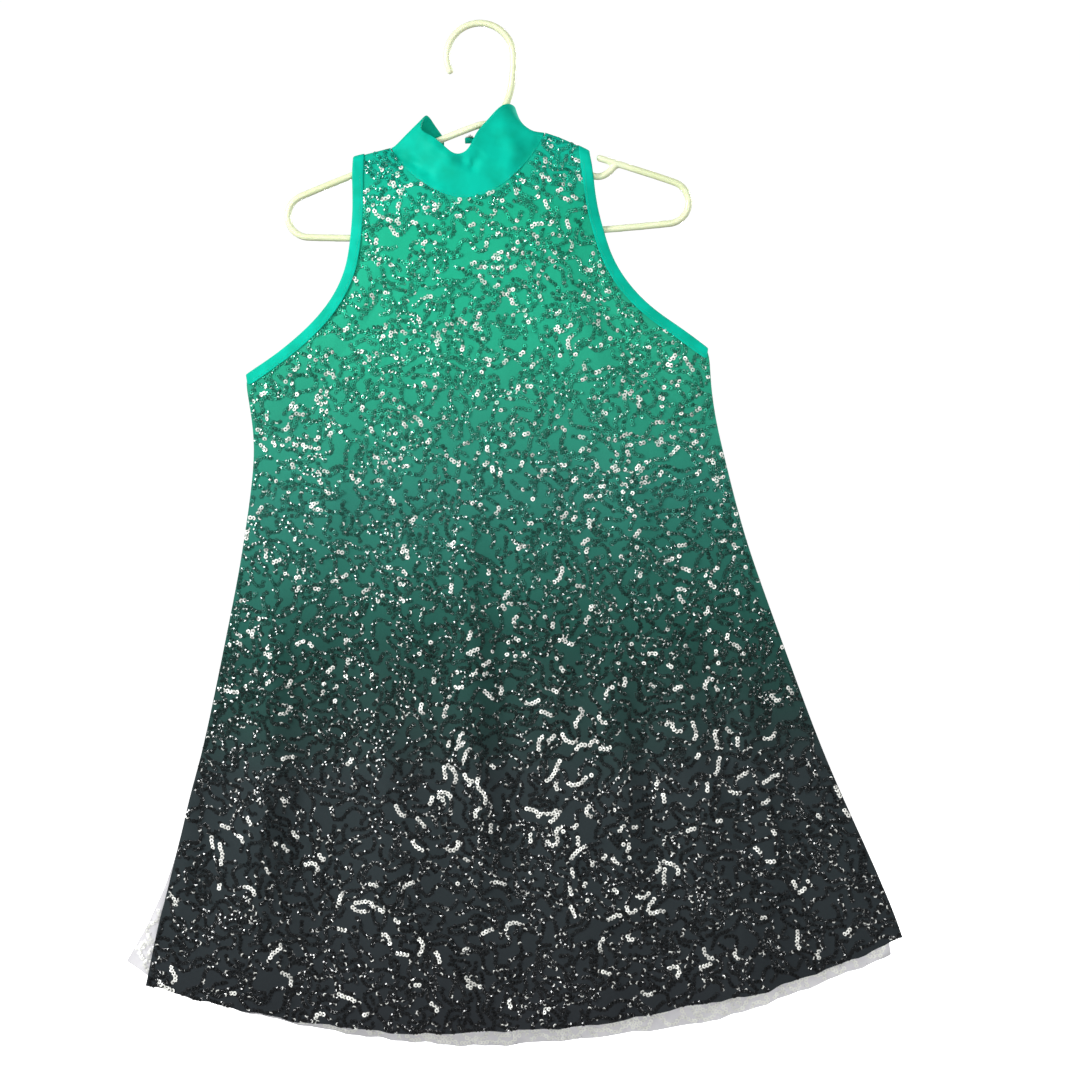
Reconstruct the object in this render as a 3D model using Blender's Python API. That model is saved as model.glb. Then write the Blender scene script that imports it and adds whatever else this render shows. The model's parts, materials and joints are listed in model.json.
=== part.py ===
"""Sleeveless sequin dress with a stand-up collar, hung on a tubular plastic hanger.

World frame: metres, +Z up, +X to the right of someone facing the dress's front, +Y away from them.
The origin is the point of the hanger's hook that bears on a rail.
Sizes below are millimetres: x to the right of the hook's crown, depth down from it.
"""

import math

import bmesh
import bpy
from mathutils import Vector

MM = 0.001

# Cloth
CLOTH = 1.5
SEAM_GAP = 0.3
SHOULDER_R = 5.5
SHOULDER_BLEND = 45.0
COLLAR_WALL = 2.0
BINDING_WIDTH = 12.0
BINDING_WALL = 0.8
BINDING_ROOM = 0.6
BINDING_EDGE = BINDING_ROOM + BINDING_WALL
BINDING_MIDDLE = 5.0
BINDING_END = (0.12, 1.15)
CORNER_EASE = 16.0

# Finish of each stuff
CLOTH_GLOSS = 0.35
BINDING_GLOSS = 0.55
KNIT_GLOSS = 0.5
PLASTIC_GLOSS = 0.35
PEARL_GLOSS = 0.25
SHARP_ANGLE = 40.0

# Where each side's armhole starts and ends
ARM_TOP_LEFT = 131.0
ARM_TOP_RIGHT = 134.0
UNDERARM_LEFT = 352.0
UNDERARM_RIGHT = 343.0
SIDE_LENGTH = 621.0

# Shoulder line, carried on across the neck: x, depth
SHOULDER_LINE = (
    (-137.0, 131.8),
    (-95.6, 122.8),
    (-16.0, 104.0),
    (64.0, 113.2),
    (112.0, 136.0),
)

# Armhole edge: share of the way down, left x, right x
ARMHOLE = (
    (0.0, -134.8, 109.0),
    (0.1, -136.8, 112.0),
    (0.2, -136.6, 113.3),
    (0.3, -138.5, 116.0),
    (0.4, -141.5, 121.0),
    (0.5, -146.0, 126.5),
    (0.6, -155.0, 136.0),
    (0.7, -170.0, 150.5),
    (0.8, -192.0, 171.0),
    (0.9, -220.5, 199.0),
    (1.0, -255.5, 225.0),
)

# Side seam: share of the way from underarm to hem corner, left x, right x
SIDE = (
    (0.0, -255.5, 225.0),
    (0.08, -249.0, 225.5),
    (0.15, -247.5, 232.0),
    (0.2, -254.5, 239.0),
    (0.3, -265.5, 252.0),
    (0.4, -280.0, 270.5),
    (0.5, -295.0, 290.5),
    (0.6, -310.5, 310.5),
    (0.7, -328.5, 332.0),
    (0.8, -346.0, 357.0),
    (0.9, -364.5, 382.0),
    (1.0, -380.5, 403.0),
)

# Neckline: both panels meet at the shoulder seams
NECK_LEFT = -95.6
NECK_RIGHT = 64.0
NECK_CENTRE = (NECK_LEFT + NECK_RIGHT) / 2
NECK_HALF = (NECK_RIGHT - NECK_LEFT) / 2
NECK_ROUND = 0.7
FRONT_NECK_DROP = 65.0
BACK_NECK_DROP = 33.0

NECK_STEP = 0.02
SEAM_SHARE = 0.999

# Columns of a panel: shares along each shoulder, then how many round the neckline and the opening
LEFT_SHOULDER = (0.0, 0.2, 0.42, 0.7)
RIGHT_SHOULDER = (0.3, 0.58, 0.8, 1.0)
FRONT_NECK_ANGLES = tuple(math.radians(angle) for angle in range(-90, 91, 12))
BACK_NECK_COLUMNS = 5
SLIT_COLUMNS = 8

# Opening at the centre back, below the collar's ends
SLIT_CENTRE = -24.5
SLIT_HALF = 16.5
SLIT_DROP = 86.0
SLIT_ROUND = 0.6

# Front hem: a wide arc, a little higher on the right
HEM_LOW = 1034.5
HEM_RADIUS = 1110.0
HEM_TILT = 0.015

# Rows of a panel, as shares of the way from its top edge to the underarm, then on to its hem
TO_UNDERARM = (
    *(0.0, 0.011, 0.023, 0.039, 0.06, 0.1, 0.17, 0.25, 0.33, 0.41),
    *(0.49, 0.56, 0.63, 0.7, 0.76, 0.82, 0.88, 0.92, 0.96, 1.0),
)
TO_HEM = (
    *(0.025, 0.06, 0.12, 0.19, 0.26, 0.33, 0.4, 0.47, 0.54),
    *(0.61, 0.68, 0.75, 0.81, 0.87, 0.92, 0.965, 1.0),
)
HEM_ROUNDS = 16
SLOPE_STEP = 0.5
NORMAL_STEP = 0.25
OFF_SEAM = 0.001

# Small waves of the front hem: x, how far down, half width
HEM_WAVES = (
    (-222.0, 6.0, 16.0),
    (-195.0, -3.0, 14.0),
    (-110.0, 3.0, 30.0),
    (-10.0, -2.5, 22.0),
    (180.0, -3.0, 30.0),
    (250.0, 3.0, 24.0),
    (330.0, 3.0, 26.0),
)

# Back hem, cut longer than the front: x, depth
BACK_HEM = (
    (-402.0, 950.0),
    (-377.0, 970.0),
    (-325.0, 998.0),
    (-243.0, 1022.0),
    (-162.0, 1044.0),
    (-80.0, 1055.0),
    (10.0, 1058.0),
    (105.0, 1052.0),
    (188.0, 1042.0),
    (271.0, 1021.0),
    (355.0, 989.0),
    (392.0, 975.0),
)

# Below the side slits the back swings to the left: start, depth it is measured at, left and right swing
SIDE_SLIT_TOP = 820.0
SWING_AT = 130.0
SWING_LEFT = -26.0
SWING_RIGHT = -12.0
SWING_CURVE = 2.2

# How far each panel stands from the hanger's plane: depth, at its edges, front middle, back middle
STAND_OFF = (
    (90.0, 5.5, 7.0, 7.0),
    (130.0, 5.5, 10.0, 9.0),
    (180.0, 5.5, 18.0, 14.0),
    (225.0, 5.5, 17.0, 14.0),
    (300.0, 3.4, 15.0, 13.0),
    (345.0, 2.4, 13.0, 12.0),
    (368.0, 2.4, 12.5, 12.0),
    (395.0, 0.9, 12.5, 12.0),
    (520.0, 0.9, 12.0, 12.0),
    (820.0, 0.9, 15.0, 16.0),
    (930.0, 3.0, 18.0, 20.0),
    (1060.0, 5.0, 21.0, 24.0),
)
PANEL_ROUND = 2.6

# A fold dies out towards the panel's edges, grows over its start and widens on its way down
FOLD_FADE = 6.0
FOLD_START = 1.4
FOLD_NARROW = 0.6
FOLD_WIDEN = 0.4
FOLD_LAST = 1.2

# Soft folds: panel, x and depth where it starts, x and depth where it ends, half width, height
FOLDS = (
    ("front", -112.0, 300.0, -205.0, 1010.0, 30.0, -5.5),
    ("front", -60.0, 380.0, -120.0, 1030.0, 34.0, 5.5),
    ("front", -5.0, 520.0, 2.0, 1030.0, 26.0, -6.0),
    ("front", 40.0, 420.0, 78.0, 1030.0, 32.0, 5.0),
    ("front", 95.0, 600.0, 150.0, 1020.0, 24.0, -5.5),
    ("front", 120.0, 420.0, 235.0, 1005.0, 34.0, 5.5),
    ("front", 175.0, 560.0, 320.0, 985.0, 26.0, -5.0),
    ("front", -180.0, 480.0, -300.0, 1000.0, 32.0, 5.0),
    ("front", -62.0, 205.0, -150.0, 330.0, 16.0, -3.0),
    ("front", 62.0, 225.0, 140.0, 330.0, 16.0, -3.0),
    ("back", -130.0, 330.0, -240.0, 1020.0, 34.0, -6.0),
    ("back", -70.0, 420.0, -130.0, 1045.0, 36.0, 6.5),
    ("back", 10.0, 380.0, -20.0, 1055.0, 30.0, -6.5),
    ("back", 60.0, 450.0, 95.0, 1050.0, 36.0, 6.0),
    ("back", 110.0, 330.0, 205.0, 1035.0, 30.0, -6.0),
    ("back", 160.0, 520.0, 300.0, 1010.0, 34.0, 6.0),
    ("back", -185.0, 560.0, -325.0, 995.0, 30.0, 6.0),
)

# Collar's top edge, from the back's left end round the front to its right end.
# Share of the way round, x, y towards the back, depth, then how far the middle of the band slips
# sideways and down.
COLLAR_LEFT_AT = 0.17
COLLAR_RIGHT_AT = 0.83
COLLAR_TOP = (
    (0.00, -41.0, 13.5, 112.0, 0.0, 0.0),
    (0.09, -49.0, 10.0, 100.0, -2.0, 0.0),
    (0.17, -58.0, 1.5, 89.5, 0.0, 0.0),
    (0.22, -64.0, -7.0, 104.5, -1.0, 0.0),
    (0.30, -50.0, -11.5, 115.0, -2.0, 1.0),
    (0.37, -41.0, -14.5, 123.5, 0.0, 1.0),
    (0.44, -32.0, -17.0, 132.0, 0.0, 0.0),
    (0.50, -24.5, -18.0, 134.0, 0.0, 0.0),
    (0.55, -17.0, -17.5, 130.5, 1.0, 0.0),
    (0.60, -11.0, -16.5, 121.5, 2.0, 0.0),
    (0.66, -6.0, -14.5, 112.0, 3.0, 1.0),
    (0.72, 6.0, -12.0, 98.5, 2.0, 2.0),
    (0.78, 21.0, -9.0, 84.0, 0.0, 5.0),
    (0.83, 32.5, -0.5, 83.5, -4.0, 8.5),
    (0.88, 33.5, 7.0, 96.0, -2.0, 4.0),
    (0.94, 16.0, 11.0, 106.0, 0.0, 0.0),
    (1.00, -8.0, 13.5, 112.0, 0.0, 0.0),
)
COLLAR_ROOT = 3.0
COLLAR_ROWS = (0.25, 0.5, 0.75, 1.0)
COLLAR_BOW = 4.0

# Fastening at the collar's right end
TAB_LENGTH = 11.0
TAB_HEIGHT = 6.0
TAB_WALL = 1.4
BUTTON_R = 3.8
BUTTON_THICK = 2.0
BUTTON_SIDES = 20
BUTTON_INSET = 1.0

# Hanger, level and even about its own middle
TUBE_R = 3.2
TUBE_SIDES = 10
DOME_RISE = 0.6
DOME_NARROW = 0.7
HANGER_X = 2.5
ARM_APEX = 99.0
ARM_SLOPE = 0.359
ARM_SOFTEN = 6.0
END_R = 22.0
END_X = 185.3
END_DEPTH = 189.3
BAR_BOW = 6.1
TIP_X = 116.0
ARM_STEPS = 4
END_STEPS = 12
BAR_STEPS = 7

# Strap notch on each arm, under the arm's loose tip: distance from the middle, depth
NOTCH = (
    (134.0, 147.4),
    (127.5, 154.5),
    (118.5, 159.6),
    (109.0, 159.0),
    (100.5, 151.5),
    (94.0, 140.5),
    (86.5, 131.0),
)
ARM_STRAIGHT = (72.0, 54.0, 36.0, 20.0, 10.0, 4.0)
NOTCH_STEPS = 3

# Hook: arch, then the stem down to the arms: x, depth
HOOK_R = 34.5
HOOK_START = 205.0
HOOK_END = 2.0
HOOK_STEPS = 21
STEM_STEPS = 2
STEM = (
    (34.0, 44.0),
    (32.6, 56.0),
    (30.4, 67.0),
    (26.6, 78.0),
    (21.6, 88.0),
)
STEM_FOOT = (16.2, 99.5)

# Colours
TEAL = (0.000, 0.590, 0.392)
SEQUIN_GREEN = (0.030, 0.370, 0.245)
SEQUIN_BLACK = (0.022, 0.045, 0.044)
IVORY = (0.780, 0.800, 0.580)
PEARL = (0.800, 0.800, 0.760)


def row_value(rows, column, at):
    """Value of one column of a table at a key, on a smooth curve through its rows."""
    keys = [row[0] for row in rows]
    values = [row[column] for row in rows]
    if at <= keys[0]:
        slope = (values[1] - values[0]) / (keys[1] - keys[0])
        return values[0] + slope * (at - keys[0])
    if at >= keys[-1]:
        slope = (values[-1] - values[-2]) / (keys[-1] - keys[-2])
        return values[-1] + slope * (at - keys[-1])
    index = max(i for i in range(len(keys) - 1) if keys[i] <= at)
    span = keys[index + 1] - keys[index]
    share = (at - keys[index]) / span
    slopes = []
    for i in (index, index + 1):
        before = max(i - 1, 0)
        after = min(i + 1, len(keys) - 1)
        slopes.append((values[after] - values[before]) / (keys[after] - keys[before]))
    square = share * share
    cube = square * share
    return (
        values[index] * (2 * cube - 3 * square + 1)
        + slopes[0] * span * (cube - 2 * square + share)
        + values[index + 1] * (3 * square - 2 * cube)
        + slopes[1] * span * (cube - square)
    )


def smooth_step(value):
    value = min(max(value, 0.0), 1.0)
    return value * value * (3 - 2 * value)


def mix(first, second, share):
    return first + (second - first) * share


# The panels' flat shapes


def shoulder_depth(x):
    return row_value(SHOULDER_LINE, 1, x)


def seam_depth(x):
    """Depth of the shoulder seam with the shoulder's curve rolled out flat."""
    return shoulder_depth(x) - (math.pi / 2 - 1) * SHOULDER_R


def edge_x(panel, side, depth):
    """Where a panel's left or right edge is at a depth."""
    column = 1 if side == "left" else 2
    top = ARM_TOP_LEFT if side == "left" else ARM_TOP_RIGHT
    underarm = UNDERARM_LEFT if side == "left" else UNDERARM_RIGHT
    inward = BINDING_EDGE if side == "left" else -BINDING_EDGE
    if depth < underarm:
        return row_value(ARMHOLE, column, max((depth - top) / (underarm - top), 0.0)) + inward
    x = row_value(SIDE, column, (depth - underarm) / SIDE_LENGTH)
    x += inward * (1 - smooth_step((depth - underarm) / CORNER_EASE))
    if panel == "back" and depth > SIDE_SLIT_TOP:
        swing = SWING_LEFT if side == "left" else SWING_RIGHT
        x += swing * ((depth - SIDE_SLIT_TOP) / SWING_AT) ** SWING_CURVE
    return x


def across(panel, x, depth):
    """Share of the way across a panel, from its left edge to its right."""
    left = edge_x(panel, "left", depth)
    right = edge_x(panel, "right", depth)
    return (x - left) / (right - left)


def neck_point(panel, angle):
    """Point of the neckline, x and depth, from -90 degrees at the left shoulder to 90 at the right."""
    x = NECK_CENTRE + NECK_HALF * math.sin(angle)
    ends = mix(seam_depth(NECK_LEFT), seam_depth(NECK_RIGHT), (x - NECK_LEFT) / (2 * NECK_HALF))
    drop = FRONT_NECK_DROP if panel == "front" else BACK_NECK_DROP
    side = (x - NECK_CENTRE) / NECK_HALF
    return x, ends + drop * max(math.cos(side * math.pi / 2), 0.0) ** NECK_ROUND


def neck_angle(x):
    return math.asin((x - NECK_CENTRE) / NECK_HALF)


def back_neck_angles(side):
    """Angles of the back neckline's columns, from left to right, on one side of the opening."""
    if side == "left":
        ends = (-math.pi / 2, neck_angle(SLIT_CENTRE - SLIT_HALF))
    else:
        ends = (neck_angle(SLIT_CENTRE + SLIT_HALF), math.pi / 2)
    return [mix(*ends, step / BACK_NECK_COLUMNS) for step in range(BACK_NECK_COLUMNS + 1)]


def hem_depth(panel, x):
    if panel == "back":
        return row_value(BACK_HEM, 1, x)
    depth = HEM_LOW - x * x / (2 * HEM_RADIUS) - HEM_TILT * x
    for centre, height, half_width in HEM_WAVES:
        depth += height * math.exp(-(((x - centre) / half_width) ** 2))
    return depth


def top_edge(panel):
    """Points of a panel's top edge, x and depth, from its left armhole to its right."""
    points = []
    for share in LEFT_SHOULDER:
        x = mix(edge_x(panel, "left", ARM_TOP_LEFT), NECK_LEFT, share)
        points.append((x, seam_depth(x)))
    if panel == "front":
        points += [neck_point(panel, angle) for angle in FRONT_NECK_ANGLES]
    else:
        points += [neck_point(panel, angle) for angle in back_neck_angles("left")]
        for step in range(1, SLIT_COLUMNS):
            angle = math.pi * (step / SLIT_COLUMNS - 0.5)
            x = SLIT_CENTRE + SLIT_HALF * math.sin(angle)
            depth = neck_point(panel, neck_angle(x))[1]
            points.append((x, depth + SLIT_DROP * max(math.cos(angle), 0.0) ** SLIT_ROUND))
        points += [neck_point(panel, angle) for angle in back_neck_angles("right")]
    for share in RIGHT_SHOULDER:
        x = mix(NECK_RIGHT, edge_x(panel, "right", ARM_TOP_RIGHT), share)
        points.append((x, seam_depth(x)))
    return points


# The panels in space


def fold_height(panel, x, depth):
    height = 0.0
    for name, x0, depth0, x1, depth1, half_width, rise in FOLDS:
        share = (depth - depth0) / (depth1 - depth0)
        if name != panel or share <= 0:
            continue
        offset = x - mix(x0, x1, share)
        width = half_width * (FOLD_NARROW + FOLD_WIDEN * min(share, FOLD_LAST))
        height += rise * smooth_step(share * FOLD_START) * math.exp(-((offset / width) ** 2))
    return height


def surface(panel, x, depth):
    """Middle of a panel's wall for a point of its flat shape, as a vector in millimetres."""
    side = -1.0 if panel == "front" else 1.0
    roll = max(depth - seam_depth(x), 0.0)
    turn = min(roll / SHOULDER_R, math.pi / 2)
    stand = SHOULDER_R * math.sin(turn)
    if turn < math.pi / 2:
        height = shoulder_depth(x) + SHOULDER_R * (1 - math.cos(turn))
    else:
        height = depth
    share = min(max(across(panel, x, depth), 0.0), 1.0)
    edge = row_value(STAND_OFF, 1, depth)
    middle = row_value(STAND_OFF, 2 if panel == "front" else 3, depth)
    bulge = 1 - abs(2 * share - 1) ** PANEL_ROUND
    settled = smooth_step((roll - SHOULDER_R * math.pi / 2) / SHOULDER_BLEND)
    stand += (mix(edge, middle, bulge) - SHOULDER_R) * settled
    fade = 1 - abs(2 * share - 1) ** FOLD_FADE
    stand += fold_height(panel, x, depth) * fade
    return Vector((x, side * (SEAM_GAP / 2 + stand), -height))


def surface_normal(panel, x, depth):
    """Way out of a panel at a point of its flat shape."""
    low = max(depth - NORMAL_STEP, seam_depth(x) + OFF_SEAM)
    over = surface(panel, x + NORMAL_STEP, depth) - surface(panel, x - NORMAL_STEP, depth)
    down = surface(panel, x, low + 2 * NORMAL_STEP) - surface(panel, x, low)
    normal = down.cross(over) if panel == "front" else over.cross(down)
    return normal.normalized()


def panel_grid(panel):
    """Rows of a panel's flat points, from its top edge to its hem."""
    columns = []
    top = top_edge(panel)
    for index, (top_x, top_depth) in enumerate(top):
        share = across(panel, top_x, top_depth)
        if index == 0:
            share = 0.0
        if index == len(top) - 1:
            share = 1.0
        underarm = mix(UNDERARM_LEFT, UNDERARM_RIGHT, share)
        depths = [mix(top_depth, underarm, step) for step in TO_UNDERARM]
        hem = SIDE_SLIT_TOP + SWING_AT
        for _ in range(HEM_ROUNDS):
            x = mix(edge_x(panel, "left", hem), edge_x(panel, "right", hem), share)
            hem = mix(hem, hem_depth(panel, x), 0.5)
        depths += [mix(underarm, hem, step) for step in TO_HEM]
        column = []
        for depth in depths:
            x = mix(edge_x(panel, "left", depth), edge_x(panel, "right", depth), share)
            column.append((x, depth))
        columns.append(column)
    return [[column[row] for column in columns] for row in range(len(columns[0]))]


# Meshes


def add_object(name, mesh, colour, roughness):
    material = bpy.data.materials.new(name)
    material.use_nodes = True
    shader = material.node_tree.nodes["Principled BSDF"]
    shader.inputs["Base Color"].default_value = (*colour, 1.0)
    shader.inputs["Roughness"].default_value = roughness
    shader.inputs["Metallic"].default_value = 0.0
    mesh.materials.append(material)
    obj = bpy.data.objects.new(name, mesh)
    bpy.context.scene.collection.objects.link(obj)
    return obj


def finished_mesh(name, model):
    bmesh.ops.recalc_face_normals(model, faces=model.faces)
    mesh = bpy.data.meshes.new(name)
    model.to_mesh(mesh)
    model.free()
    mesh.shade_smooth()
    mesh.set_sharp_from_angle(angle=math.radians(SHARP_ANGLE))
    return mesh


def wall(name, outer, inner):
    """Closed wall between two grids of points, given as rows in millimetres."""
    model = bmesh.new()
    sheets = []
    for grid in (outer, inner):
        sheets.append([[model.verts.new(point * MM) for point in row] for row in grid])
    last_row = len(outer) - 1
    last_column = len(outer[0]) - 1
    for sheet in sheets:
        for row in range(last_row):
            for column in range(last_column):
                model.faces.new(
                    (
                        sheet[row][column],
                        sheet[row][column + 1],
                        sheet[row + 1][column + 1],
                        sheet[row + 1][column],
                    )
                )
    rim = [(0, column) for column in range(last_column)]
    rim += [(row, last_column) for row in range(last_row)]
    rim += [(last_row, column) for column in range(last_column, 0, -1)]
    rim += [(row, 0) for row in range(last_row, 0, -1)]
    for index, (row, column) in enumerate(rim):
        next_row, next_column = rim[(index + 1) % len(rim)]
        model.faces.new(
            (
                sheets[0][row][column],
                sheets[0][next_row][next_column],
                sheets[1][next_row][next_column],
                sheets[1][row][column],
            )
        )
    return finished_mesh(name, model)


def tube(name, points, radius, sides, level_foot=False):
    """Closed round bar along points in the hanger's plane, x and depth, with domed ends."""
    path = [Vector((x, 0.0, -depth)) for x, depth in points]
    model = bmesh.new()
    rings = []
    for index, point in enumerate(path):
        before = path[max(index - 1, 0)]
        after = path[min(index + 1, len(path) - 1)]
        along = (after - before).normalized()
        out = along.cross(Vector((0.0, 1.0, 0.0)))
        rings.append((point, along, out, radius))
    start, finish = rings[0], rings[-1]
    rise = radius * DOME_RISE
    narrow = radius * DOME_NARROW
    rings.insert(0, (start[0] - start[1] * rise, start[1], start[2], narrow))
    if not level_foot:
        rings.append((finish[0] + finish[1] * rise, finish[1], finish[2], narrow))
    loops = []
    for number, (point, along, out, size) in enumerate(rings):
        loop = []
        for side in range(sides):
            angle = 2 * math.pi * side / sides
            place = point + (out * math.cos(angle) + Vector((0.0, 1.0, 0.0)) * math.sin(angle)) * size
            if level_foot and number == len(rings) - 1:
                place += along * ((point.z - place.z) / along.z)
            loop.append(model.verts.new(place * MM))
        loops.append(loop)
    for first, second in zip(loops, loops[1:]):
        for side in range(sides):
            after = (side + 1) % sides
            model.faces.new((first[side], first[after], second[after], second[side]))
    model.faces.new(loops[0])
    model.faces.new(loops[-1])
    return finished_mesh(name, model)


def smooth_path(points, steps):
    """Points on a smooth curve through a few points."""
    rows = [(float(index), *point) for index, point in enumerate(points)]
    count = (len(points) - 1) * steps
    return [
        (row_value(rows, 1, index / steps), row_value(rows, 2, index / steps))
        for index in range(count + 1)
    ]


# Pieces


def make_panel(panel):
    grid = panel_grid(panel)
    outer = []
    inner = []
    for row in grid:
        middles = [surface(panel, x, depth) for x, depth in row]
        normals = [surface_normal(panel, x, depth) for x, depth in row]
        outer.append([point + normal * CLOTH / 2 for point, normal in zip(middles, normals)])
        inner.append([point - normal * CLOTH / 2 for point, normal in zip(middles, normals)])
    name = panel + "_panel"
    colour = SEQUIN_GREEN if panel == "front" else SEQUIN_BLACK
    return add_object(name, wall(name, outer, inner), colour, CLOTH_GLOSS)


def armhole_stations(side):
    """Armhole edge from the front underarm over the shoulder to the back underarm.

    Each is a panel's name, a flat point on its edge and the flat direction into the panel.
    """
    sign = 1.0 if side == "left" else -1.0
    underarm = UNDERARM_LEFT if side == "left" else UNDERARM_RIGHT
    top_x = edge_x("front", side, ARM_TOP_LEFT if side == "left" else ARM_TOP_RIGHT)
    top = seam_depth(top_x)
    stations = []
    for share in TO_UNDERARM[:-1]:
        depth = mix(top, underarm, share)
        above = edge_x("front", side, depth - SLOPE_STEP)
        below = edge_x("front", side, depth + SLOPE_STEP)
        slope = (below - above) / (2 * SLOPE_STEP)
        length = math.hypot(1.0, slope)
        stations.append((edge_x("front", side, depth), depth, sign / length, -sign * slope / length))
    end_x, end_depth = BINDING_END
    stations.append((edge_x("front", side, underarm), underarm, sign * end_x, end_depth))
    front = [("front", *station) for station in reversed(stations)]
    back = [("back", *station) for station in stations]
    return front[:-1] + [("seam", *stations[0])] + back[1:]


def make_binding(side):
    """Folded strip over an armhole's raw edges, front and back in one piece."""
    inside = CLOTH / 2 + BINDING_ROOM
    outside = inside + BINDING_WALL
    reach = BINDING_WIDTH - BINDING_EDGE
    section = (
        (reach, outside),
        (BINDING_MIDDLE, outside),
        (0.0, outside),
        (-BINDING_EDGE, inside),
        (-BINDING_EDGE, -inside),
        (0.0, -outside),
        (BINDING_MIDDLE, -outside),
        (reach, -outside),
        (reach, -inside),
        (BINDING_MIDDLE, -inside),
        (-BINDING_ROOM, -inside),
        (-BINDING_ROOM, inside),
        (BINDING_MIDDLE, inside),
        (reach, inside),
    )
    model = bmesh.new()
    loops = []
    for panel, x, depth, inward_x, inward_depth in armhole_stations(side):
        loop = []
        for inward, out in section:
            place_x = x + inward_x * inward
            place_depth = depth + inward_depth * inward
            if panel == "seam":
                point = Vector((place_x, 0.0, -shoulder_depth(place_x)))
                normal = Vector((0.0, 0.0, 1.0))
            else:
                place_depth = max(place_depth, seam_depth(place_x))
                if (x, depth) != (place_x, place_depth):
                    rise = depth - seam_depth(x)
                    if rise < SHOULDER_R * math.pi / 2:
                        place_depth = seam_depth(place_x) + rise
                point = surface(panel, place_x, place_depth)
                normal = surface_normal(panel, place_x, place_depth)
            loop.append(model.verts.new((point + normal * out) * MM))
        loops.append(loop)
    count = len(section)
    for first, second in zip(loops, loops[1:]):
        for index in range(count):
            after = (index + 1) % count
            model.faces.new((first[index], first[after], second[after], second[index]))
    for loop in (loops[0], loops[-1]):
        half = count // 2
        for index in range(half - 1):
            model.faces.new(
                (loop[index], loop[index + 1], loop[count - 2 - index], loop[count - 1 - index])
            )
    name = "armhole_binding_" + side
    return add_object(name, finished_mesh(name, model), TEAL, BINDING_GLOSS)


def past_neckline(panel, angle, away):
    """Point on a panel's surface a little past its neckline."""
    x, depth = neck_point(panel, angle)
    before = Vector(neck_point(panel, max(angle - NECK_STEP, -math.pi / 2)))
    after = Vector(neck_point(panel, min(angle + NECK_STEP, math.pi / 2)))
    along = (after - before).normalized()
    return surface(panel, x + along.y * away, depth - along.x * away)


def collar_roots():
    """Foot and root of the collar at each column of the panels' necklines and halfway between.

    Each is a share of the way round the collar and two points.
    """
    stations = []
    left = list(reversed(back_neck_angles("left")))[:-1]
    right = list(reversed(back_neck_angles("right")))[1:]
    for index, angle in enumerate(left):
        stations.append((COLLAR_LEFT_AT * index / len(left), "back", angle))
    for index, angle in enumerate(FRONT_NECK_ANGLES):
        way = index / (len(FRONT_NECK_ANGLES) - 1)
        stations.append((mix(COLLAR_LEFT_AT, COLLAR_RIGHT_AT, way), "front", angle))
    for index, angle in enumerate(right):
        stations.append((mix(COLLAR_RIGHT_AT, 1.0, (index + 1) / len(right)), "back", angle))
    roots = []
    for share, panel, angle in stations:
        points = [past_neckline(panel, angle, away) for away in (SEAM_GAP, COLLAR_ROOT)]
        if panel == "front" and abs(math.sin(angle)) > SEAM_SHARE:
            points = [Vector((point.x, 0.0, point.z)) for point in points]
        if roots:
            last_share, *last_points = roots[-1]
            halfway = [old.lerp(new, 0.5) for old, new in zip(last_points, points)]
            roots.append(((last_share + share) / 2, *halfway))
        roots.append((share, *points))
    return roots


def make_collar():
    """Doubled band that stands up from the neckline, open at the centre back."""
    grid = []
    for share, foot, root in collar_roots():
        place = [row_value(COLLAR_TOP, index, share) for index in range(1, 6)]
        top = Vector((place[0], place[1], -place[2]))
        slip = Vector((place[3], 0.0, -place[4]))
        points = [foot, root]
        for way in COLLAR_ROWS:
            points.append(root.lerp(top, way) + slip * COLLAR_BOW * way * (1 - way))
        grid.append(points)
    outer = []
    inner = []
    for column, points in enumerate(grid):
        before = grid[max(column - 1, 0)]
        after = grid[min(column + 1, len(grid) - 1)]
        outer.append([])
        inner.append([])
        for row, point in enumerate(points):
            around = after[row] - before[row]
            up = points[min(row + 1, len(points) - 1)] - points[max(row - 1, 0)]
            normal = around.cross(up).normalized()
            outer[-1].append(point + normal * COLLAR_WALL / 2)
            inner[-1].append(point - normal * COLLAR_WALL / 2)
    return add_object("collar", wall("collar", outer, inner), TEAL, KNIT_GLOSS)


def make_box(name, low, high, colour, roughness):
    """Plain block between two corners, in millimetres."""
    model = bmesh.new()
    bmesh.ops.create_cube(model, size=1.0)
    size = [(high[axis] - low[axis]) * MM for axis in range(3)]
    middle = Vector([(high[axis] + low[axis]) / 2 * MM for axis in range(3)])
    bmesh.ops.scale(model, vec=size, verts=model.verts)
    bmesh.ops.translate(model, vec=middle, verts=model.verts)
    return add_object(name, finished_mesh(name, model), colour, roughness)


def make_fastening():
    """Short tab on the collar's right end at the back, with its button."""
    end = COLLAR_TOP[-1]
    right = end[1] - SEAM_GAP
    low = (right - TAB_LENGTH, end[2] - TAB_WALL / 2, -end[3] - TAB_HEIGHT)
    high = (right, end[2] + TAB_WALL / 2, -end[3])
    make_box("neck_tab", low, high, TEAL, KNIT_GLOSS)
    model = bmesh.new()
    bmesh.ops.create_cone(
        model,
        cap_ends=True,
        segments=BUTTON_SIDES,
        radius1=BUTTON_R * MM,
        radius2=BUTTON_R * MM,
        depth=BUTTON_THICK * MM,
    )
    place = (low[0] + BUTTON_R + BUTTON_INSET, end[2], high[2] + SEAM_GAP + BUTTON_THICK / 2)
    bmesh.ops.translate(model, vec=Vector(place) * MM, verts=model.verts)
    return add_object("neck_button", finished_mesh("neck_button", model), PEARL, PEARL_GLOSS)


def arm_depth(distance):
    return ARM_APEX + ARM_SLOPE * math.hypot(distance, ARM_SOFTEN)


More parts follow.
